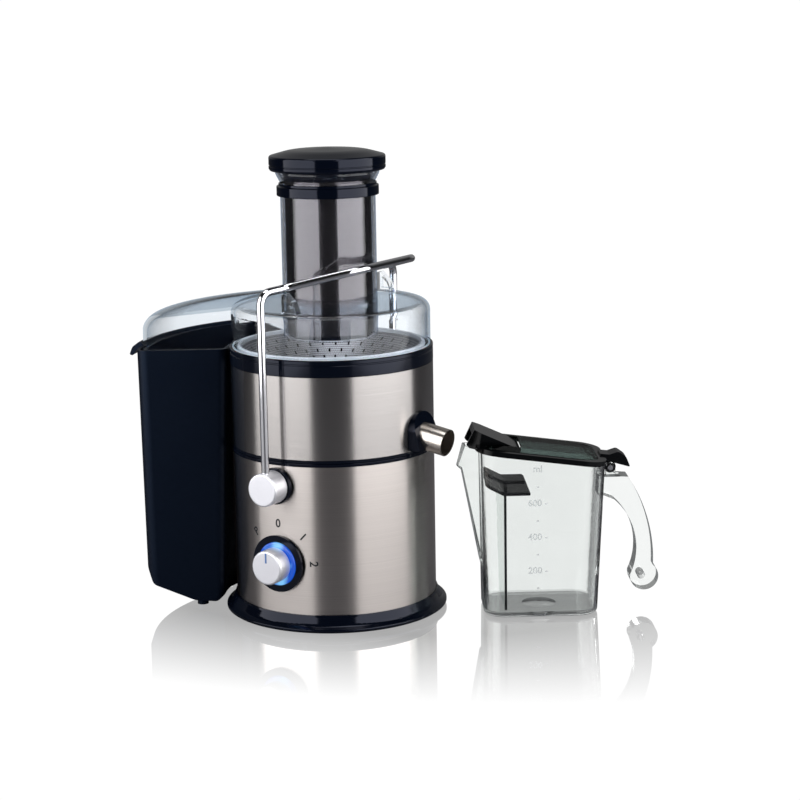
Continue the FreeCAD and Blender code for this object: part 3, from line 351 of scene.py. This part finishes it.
board = finish("circuit_board", layered,
               {"Colour": rgb(28, 110, 62), "Gap colour": rgb(60, 150, 90), "Roughness": 0.35,
                "Pitch": 420.0, "Lean": 1.0})
dress(board, "board_green", "control_board", "led_board")


# ---- sieve basket and cutting disc ----
# The basket turns on the motor's coupling. Its cone is etched stainless mesh crimped into a white
# plastic hub and rim, and the stamped grating disc is pressed on the hub.
sieve, given, made = surface_group(
    "etched_mesh",
    [("Colour", "Color", (0.7, 0.7, 0.7, 1)), ("Hole colour", "Color", (0.05, 0.05, 0.06, 1)),
     ("Roughness", "Float", 0.3), ("Holes round", "Float", 240.0), ("Row pitch", "Float", 0.0016)])
place = add(sieve, "ShaderNodeTexCoord").outputs["Object"]
parts = add(sieve, "ShaderNodeSeparateXYZ", [(0, place)])
angle = maths(sieve, "ARCTAN2", parts.outputs["Y"], parts.outputs["X"])
turns = maths(sieve, "DIVIDE", angle, 2 * math.pi)
column = maths(sieve, "MULTIPLY", turns, given.outputs["Holes round"])
row = maths(sieve, "DIVIDE", parts.outputs["Z"], given.outputs["Row pitch"])
row_number = maths(sieve, "FLOOR", row)
stagger = maths(sieve, "MULTIPLY_ADD", row_number, 0.5, column)
across = maths(sieve, "WRAP", stagger, 0.5, -0.5)
along = maths(sieve, "WRAP", row, 0.5, -0.5)
spot = add(sieve, "ShaderNodeCombineXYZ", [(0, across), (1, along)])
reach = add(sieve, "ShaderNodeVectorMath", [(0, spot.outputs[0])], operation="LENGTH")
metal = add(sieve, "ShaderNodeMapRange", [("Value", reach.outputs["Value"]), ("From Min", 0.24),
                                          ("From Max", 0.32)])
colour = add(sieve, "ShaderNodeMix", [(0, metal.outputs[0]), (6, given.outputs["Hole colour"]),
                                      (7, given.outputs["Colour"])], data_type="RGBA")
bump = add(sieve, "ShaderNodeBump", [("Strength", 0.5), ("Distance", 0.0002),
                                     ("Height", metal.outputs[0])])
put_out(sieve, made, colour.outputs[2], given.outputs["Roughness"], bump.outputs[0])

mesh_steel = finish("basket_mesh", sieve,
                    {"Colour": rgb(150, 150, 154), "Hole colour": rgb(34, 34, 40), "Roughness": 0.32},
                    {"Metallic": 0.85})
dress(mesh_steel, "mesh_steel", "filter_basket")
grater_steel = finish("stamped_disc", brushed,
                      {"Colour": rgb(140, 140, 144), "Roughness": 0.3, "Lines": 0.1,
                       "Stretch": (1800.0, 30.0, 30.0)},
                      {"Metallic": 1.0})
dress(grater_steel, "grater_steel", "grater_disc")
white_plastic = finish("white_abs", moulded,
                       {"Colour": rgb(186, 190, 196), "Roughness": 0.3, "Grain": 0.08},
                       {"Coat Weight": 0.2})
dress(white_plastic, "rim_white", "basket_rim")
hub_plastic = finish("hub_nylon", moulded,
                     {"Colour": rgb(214, 216, 220), "Roughness": 0.36, "Grain": 0.1})
dress(hub_plastic, "hub_plastic", "basket_hub", "drive_coupling")


# ---- juice collector and spout ----
# A black glossy bowl sits on the motor housing inside its own rolled steel sleeve. Its spout is
# a short steel tube that slopes down through an arched black shroud.
dress(gloss_black, "gloss_black", "juice_collector", "spout_hood")
upper_steel = brushed_round("brushed_upper_sleeve",
                            {"Colour": rgb(172, 168, 166), "Roughness": 0.26, "Lines": 0.12}, 0.9)
dress(upper_steel, "steel", "collector_steel_sleeve")
spout_steel = finish("spout_steel", brushed,
                     {"Colour": rgb(208, 200, 192), "Roughness": 0.24, "Lines": 0.1,
                      "Stretch": (2200.0, 8.0, 8.0)},
                     {"Metallic": 1.0})
dress(spout_steel, "steel", "spout_tube")


# ---- clear lid and feed tube ----
# The dome, the pulp chute and the feed tube are all clear polycarbonate, moulded about 3 mm
# thick, with a black trim ring on the tube's mouth and a soft seal under the dome.
clear, given, made = surface_group(
    "clear_plastic",
    [("Colour", "Color", (0.95, 0.97, 0.98, 1)), ("Roughness", "Float", 0.02), ("Flow", "Float", 0.05),
     ("Flow size", "Float", 18.0)])
place = add(clear, "ShaderNodeTexCoord").outputs["Object"]
flow = add(clear, "ShaderNodeTexNoise", [("Vector", place), ("Scale", given.outputs["Flow size"]),
                                         ("Detail", 1.0)])
shade = maths(clear, "MULTIPLY_ADD", flow.outputs["Fac"], 0.04, 0.98)
colour = scaled(clear, given.outputs["Colour"], shade)
bump = add(clear, "ShaderNodeBump", [("Strength", given.outputs["Flow"]), ("Distance", 0.002),
                                     ("Height", flow.outputs["Fac"])])
put_out(clear, made, colour, given.outputs["Roughness"], bump.outputs[0])


def clear_finish(name, values, constants, edge, thinness=0.8):
    """Clear plastic that takes an edge colour where it is seen along its wall. Thinness is how much
    of the light passes straight through there, unbent."""
    material = finish(name, clear, values, {"Transmission Weight": 1.0, **constants})
    tree = material.node_tree
    shader = tree.nodes["Principled BSDF"]
    body = shader.inputs["Base Color"].links[0].from_socket
    facing = add(tree, "ShaderNodeLayerWeight", [("Blend", 0.5)]).outputs["Facing"]
    depth = add(tree, "ShaderNodeMapRange", [("Value", facing), ("From Min", 0.62), ("From Max", 1.0)])
    tinted = add(tree, "ShaderNodeMix", [(0, depth.outputs[0]), (6, body), (7, edge)], data_type="RGBA")
    tree.links.new(tinted.outputs[2], shader.inputs["Base Color"])
    shadow = add(tree, "ShaderNodeLightPath").outputs["Is Shadow Ray"]
    wall = add(tree, "ShaderNodeMapRange", [("Value", facing), ("From Min", 0.45), ("From Max", 0.9),
                                            ("To Max", thinness)])
    share = maths(tree, "MAXIMUM", shadow, wall.outputs[0])
    colour = add(tree, "ShaderNodeMix", [(0, shadow), (6, tinted.outputs[2]), (7, (0.86, 0.88, 0.9, 1))],
                 data_type="RGBA")
    through = add(tree, "ShaderNodeBsdfTransparent", [("Color", colour.outputs[2])])
    mix = add(tree, "ShaderNodeMixShader", [(0, share), (1, shader.outputs[0]), (2, through.outputs[0])])
    tree.links.new(mix.outputs[0], tree.nodes["Material Output"].inputs["Surface"])
    return material


lid_clear = clear_finish("lid_polycarbonate", {"Colour": rgb(246, 249, 252), "Flow": 0.04}, {"IOR": 1.24},
                         rgb(208, 220, 230))
dress(lid_clear, "clear_lid", "lid")
tube_clear = clear_finish("tube_polycarbonate", {"Colour": rgb(246, 248, 252), "Flow": 0.03},
                          {"IOR": 1.36},
                          rgb(176, 190, 206))
dress(tube_clear, "clear_tube", "feed_tube")
dress(gloss_black, "gloss_black", "tube_trim_ring")
silicone = finish("lid_silicone", moulded, {"Colour": rgb(214, 218, 222), "Roughness": 0.5, "Grain": 0.1},
                  {"Subsurface Weight": 0.2, "Subsurface Scale": 0.003})
dress(silicone, "silicone", "lid_seal")


# ---- pusher ----
# A hollow plunger with a domed glossy black cap, a loose piece that fills the feed tube.
# Its barrel has a grey metallised skin, which is seen through the clear tube.
barrel = brushed_round("metallised_barrel", {"Colour": rgb(92, 88, 90), "Roughness": 0.25, "Lines": 0.05},
                       0.85)
dress(barrel, "barrel_grey", "pusher_body")
dress(gloss_black, "gloss_black", "pusher_head", "pusher_tip")


# ---- locking handle ----
# One 6.8 mm steel rod bent to a bow and chrome plated. Its ends turn on pins in the housing's
# bosses, under two satin metal caps, and the bow presses down on the lid's lugs.
chrome = finish("chrome_rod", moulded,
                {"Colour": rgb(232, 232, 236), "Roughness": 0.07, "Grain": 0.01, "Flow": 0.01},
                {"Metallic": 1.0})
dress(chrome, "chrome", "handle_rod")
for knob in ("front_pivot_knob", "rear_pivot_knob"):
    satin_cap(knob + "_metal", knob)


# ---- pulp container ----
# A deep bin of black polypropylene with a fine matt grain, hooked under the lid's chute by its
# rim and shaped to the round of the body.
bin_black = finish("bin_polypropylene", moulded,
                   {"Colour": rgb(3, 7, 17), "Roughness": 0.4, "Grain": 0.3, "Grain size": 1800.0,
                    "Flow": 0.03},
                   {"Specular IOR Level": 0.24, "Specular Tint": rgb(172, 200, 250)})
dress(bin_black, "satin_black", "pulp_container")


# ---- jug, its handle and its lid ----
# The jug is clear styrene with a handle of the same plastic joined at its back edge. A clear
# blade on a black clip holds the froth back. The black lid turns on a pin and has a smoky window.
JUG_CENTRE = Vector((0.1636, 0.079, 0))
JUG_TURN = math.radians(33.4)
CLIP_BACK = -0.0315           # the separator is clear blade behind this and below CLIP_LOW,
CLIP_LOW = 0.1095             # and black clip everywhere else
jug_clear = clear_finish("jug_styrene", {"Colour": rgb(247, 249, 248), "Flow": 0.05, "Flow size": 30.0},
                         {"IOR": 1.45}, rgb(130, 136, 136), thinness=0.25)
dress(jug_clear, "clear_jug", "jug_body", "jug_handle")
soft_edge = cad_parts["jug_handle"].modifiers.new("soft_edge", "BEVEL")
soft_edge.width = 0.002
soft_edge.segments = 3
soft_edge.angle_limit = math.radians(50)
lid_black = finish("jug_lid_black", moulded, {"Colour": rgb(4, 5, 6), "Roughness": 0.14, "Grain": 0.02},
                   {"Specular IOR Level": 0.18})
dress(lid_black, "black_tab", "jug_lid")

clip = finish("separator_clip", moulded, {"Colour": rgb(4, 5, 6), "Roughness": 0.2, "Grain": 0.02},
              {"Specular IOR Level": 0.18})
tree = clip.node_tree
black_clip = tree.nodes["Principled BSDF"]
blade = add(tree, "ShaderNodeBsdfTransparent", [("Color", rgb(244, 246, 245))])
place = add(tree, "ShaderNodeTexCoord").outputs["Object"]
centred = add(tree, "ShaderNodeVectorMath", [(0, place), (1, JUG_CENTRE)], operation="SUBTRACT")
in_jug = add(tree, "ShaderNodeVectorRotate", [("Vector", centred.outputs[0]), ("Angle", -JUG_TURN)],
             rotation_type="Z_AXIS")
parts = add(tree, "ShaderNodeSeparateXYZ", [(0, in_jug.outputs[0])])
behind = maths(tree, "GREATER_THAN", parts.outputs["Y"], CLIP_BACK)
below = maths(tree, "LESS_THAN", parts.outputs["Z"], CLIP_LOW)
is_blade = maths(tree, "MULTIPLY", behind, below)
pair = add(tree, "ShaderNodeMixShader", [(0, is_blade), (1, black_clip.outputs[0]),
                                         (2, blade.outputs[0])])
tree.links.new(pair.outputs[0], tree.nodes["Material Output"].inputs["Surface"])
dress(clip, "black_tab", "froth_separator")
window = clear_finish("jug_lid_smoke", {"Colour": rgb(88, 104, 100), "Roughness": 0.04}, {"IOR": 1.3},
                      rgb(84, 96, 92))
dress(window, "smoke_window", "jug_lid_window")

SCALE_OUT = -0.03614          # face of the jug's front wall in the jug's own frame
SCALE_STEP = 0.0152           # height of 100 ml in the jug
SCALE_FLOOR = 0.0125
SCALE_LEFT = -0.004
SCALE_SIZE = 0.0082
scale_ink = finish("jug_scale_ink", moulded,
                   {"Colour": rgb(150, 154, 156), "Roughness": 0.4, "Grain": 0.05},
                   {"Alpha": 0.55})


def on_jug(across, up):
    """Shaping function: text set on the jug's front wall."""
    def shape(x, y):
        local = Vector((across + x, SCALE_OUT, up + y))
        local.rotate(Matrix.Rotation(JUG_TURN, 3, "Z"))
        return JUG_CENTRE + local
    return shape


for step, words in enumerate(("-", "200 -", "-", "400 -", "-", "600 -", "-", "ml"), start=1):
    level = SCALE_FLOOR + step * SCALE_STEP
    tick = lettering("jug_mark_%d" % (step * 100), words, SCALE_SIZE, on_jug(SCALE_LEFT, level))
    tick.data.materials.append(scale_ink)
    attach(tick, "jug")


# ---- floor, backdrop and lights ----
# Everything stands on one pale glossy floor in front of a white backdrop. Two tall soft boxes
# stand left and right of the camera, with the dark studio between them, one stands behind and a
# small one hangs above.
VIEW = math.radians(33.4)
TOWARD = Vector((math.sin(VIEW), -math.cos(VIEW), 0))
FLOOR_HALF = 8.0
FLOOR_DROP = 0.0001
WHITE_LEVEL = 1.02
BOX_LOW = -0.1
SET_MIDDLE = (0.027, 0.0395, 0.0)        # between the juicer and the jug
SET_TURN = math.radians(-16.1)
SHINE_REACH = (0.5, 0.265, 1.0)          # how far the floor mirrors, along the set and across it


def bounces(tree):
    """Light path node, and a number that is 1 for rays that have already left a surface."""
    path = add(tree, "ShaderNodeLightPath")
    return path, maths(tree, "ADD", path.outputs["Glossy Depth"], path.outputs["Diffuse Depth"],
                       use_clamp=True)


floor_mesh = bpy.data.meshes.new("floor")
corners = [(x * FLOOR_HALF, y * FLOOR_HALF, 0) for x, y in ((-1, -1), (1, -1), (1, 1), (-1, 1))]
floor_mesh.from_pydata(corners, [], [(0, 1, 2, 3)])
floor = bpy.data.objects.new("floor", floor_mesh)
floor.location.z = cad_bounds[0][2] - FLOOR_DROP
bpy.context.scene.collection.objects.link(floor)
floor_pale = bpy.data.materials.new("floor_pale")
floor_pale.use_nodes = True
tree = floor_pale.node_tree
shader = tree.nodes["Principled BSDF"]
place = add(tree, "ShaderNodeTexCoord").outputs["Object"]
dust = add(tree, "ShaderNodeTexNoise", [("Vector", place), ("Scale", 9.0), ("Detail", 3.0)])
tint = add(tree, "ShaderNodeValToRGB", [("Fac", dust.outputs["Fac"])])
tint.color_ramp.elements[0].color = (0.10, 0.10, 0.11, 1)
tint.color_ramp.elements[1].color = (0.13, 0.13, 0.14, 1)
tree.links.new(tint.outputs["Color"], shader.inputs["Base Color"])
shader.inputs["Roughness"].default_value = 0.5
centred = add(tree, "ShaderNodeVectorMath", [(0, place), (1, SET_MIDDLE)], operation="SUBTRACT")
lined_up = add(tree, "ShaderNodeVectorRotate", [("Vector", centred.outputs[0]), ("Angle", SET_TURN)],
               rotation_type="Z_AXIS")
spread = add(tree, "ShaderNodeVectorMath", [(0, lined_up.outputs[0]), (1, SHINE_REACH)],
             operation="DIVIDE")
away = add(tree, "ShaderNodeVectorMath", [(0, spread.outputs[0])], operation="LENGTH")
fade = add(tree, "ShaderNodeMapRange", [("Value", away.outputs["Value"]), ("From Min", 0.42),
                                        ("From Max", 1.05), ("To Min", 0.6), ("To Max", 0.0)])
white = add(tree, "ShaderNodeEmission", [("Color", (1, 1, 1, 1)), ("Strength", WHITE_LEVEL)])
mirror = add(tree, "ShaderNodeBsdfGlossy", [("Color", (1, 1, 1, 1)), ("Roughness", 0.0)])
seen = add(tree, "ShaderNodeMixShader", [(0, fade.outputs[0]), (1, white.outputs[0]),
                                         (2, mirror.outputs[0])])
path, bounced = bounces(tree)
both = add(tree, "ShaderNodeMixShader", [(0, bounced), (1, seen.outputs[0]), (2, shader.outputs[0])])
tree.links.new(both.outputs[0], tree.nodes["Material Output"].inputs["Surface"])
floor_mesh.materials.append(floor_pale)

world = bpy.data.worlds.new("studio")
bpy.context.scene.world = world
world.use_nodes = True
tree = world.node_tree
direction = add(tree, "ShaderNodeTexCoord").outputs["Generated"]
ahead = add(tree, "ShaderNodeVectorMath", [(0, direction), (1, -TOWARD)], operation="DOT_PRODUCT")
path, bounced = bounces(tree)
unbounced = maths(tree, "SUBTRACT", 1.0, bounced)
# Clear parts show the white backdrop behind them; all others reflect the dark studio.
seen_through = maths(tree, "MULTIPLY", path.outputs["Is Transmission Ray"], unbounced)
stray = maths(tree, "MULTIPLY_ADD", path.outputs["Is Transmission Ray"], 0.08, 0.02)
sides = maths(tree, "MULTIPLY_ADD", seen_through, 0.43, stray)
middle = maths(tree, "MULTIPLY_ADD", seen_through, 0.80, 0.22)
backdrop = add(tree, "ShaderNodeMapRange", [("Value", ahead.outputs["Value"]), ("From Min", 0.45),
                                            ("From Max", 0.75), ("To Min", sides), ("To Max", middle)])
mirrored = maths(tree, "MAXIMUM", path.outputs["Is Camera Ray"], path.outputs["Is Singular Ray"])
blank = maths(tree, "MULTIPLY", mirrored, WHITE_LEVEL)
level = maths(tree, "MAXIMUM", backdrop.outputs[0], blank)
tree.links.new(level, tree.nodes["Background"].inputs["Strength"])
tree.nodes["Background"].inputs["Color"].default_value = (1, 1, 1, 1)


def soft_box(name, angle, width, height, power, distance=1.2):
    """Tall soft box, its angle counted from the camera's side round the object."""
    light = bpy.data.lights.new(name, "AREA")
    light.shape = "RECTANGLE"
    light.size = width
    light.size_y = height
    light.energy = power
    box = bpy.data.objects.new(name, light)
    bpy.context.scene.collection.objects.link(box)
    turn = VIEW + math.radians(angle)
    outward = Vector((math.sin(turn), -math.cos(turn), 0))
    box.location = outward * distance + Vector((0, 0, BOX_LOW + height / 2))
    box.rotation_euler = outward.to_track_quat("Z", "Y").to_euler()
    box.visible_camera = False
    return box


soft_box("left_soft_box", angle=-59.0, width=1.68, height=1.7, power=26.0)
soft_box("right_soft_box", angle=60.0, width=1.9, height=1.7, power=32.0)
back = soft_box("back_soft_box", angle=180.0, width=0.9, height=1.2, power=9.0, distance=2.2)
back.visible_glossy = False
back.visible_transmission = False
top = bpy.data.lights.new("top_soft_box", "AREA")
top.shape = "RECTANGLE"
top.size = 0.9
top.size_y = 0.5
top.energy = 5.0
top_box = bpy.data.objects.new("top_soft_box", top)
top_box.location = (0, 0, 1.5)
top_box.visible_camera = False
bpy.context.scene.collection.objects.link(top_box)


# ---- camera ----
# It stands 1.8 m away, a little above the lid, and looks slightly down on the juicer's front
# right side, so the spout and the jug come out on the right.
EYE = Vector((1.0126, -1.5357, 0.5567))
YAW, PITCH, ROLL = math.radians(1.861), math.radians(11.393), math.radians(-0.962)
ahead = Vector((math.sin(YAW) * math.cos(PITCH), math.cos(YAW) * math.cos(PITCH), -math.sin(PITCH)))
right = Vector((math.cos(YAW), -math.sin(YAW), 0))
up = right.cross(ahead)
right, up = (math.cos(ROLL) * right + math.sin(ROLL) * up, math.cos(ROLL) * up - math.sin(ROLL) * right)
aim = Matrix.Rotation(VIEW, 3, "Z") @ Matrix((right, up, -ahead)).transposed()
lens = bpy.data.cameras.new("camera")
lens.lens = 95.2
lens.sensor_width = 36.0
camera = bpy.data.objects.new("camera", lens)
camera.matrix_world = Matrix.Translation(EYE) @ aim.to_4x4()
bpy.context.scene.collection.objects.link(camera)
bpy.context.scene.camera = camera
bpy.context.scene.view_settings.view_transform = "Standard"
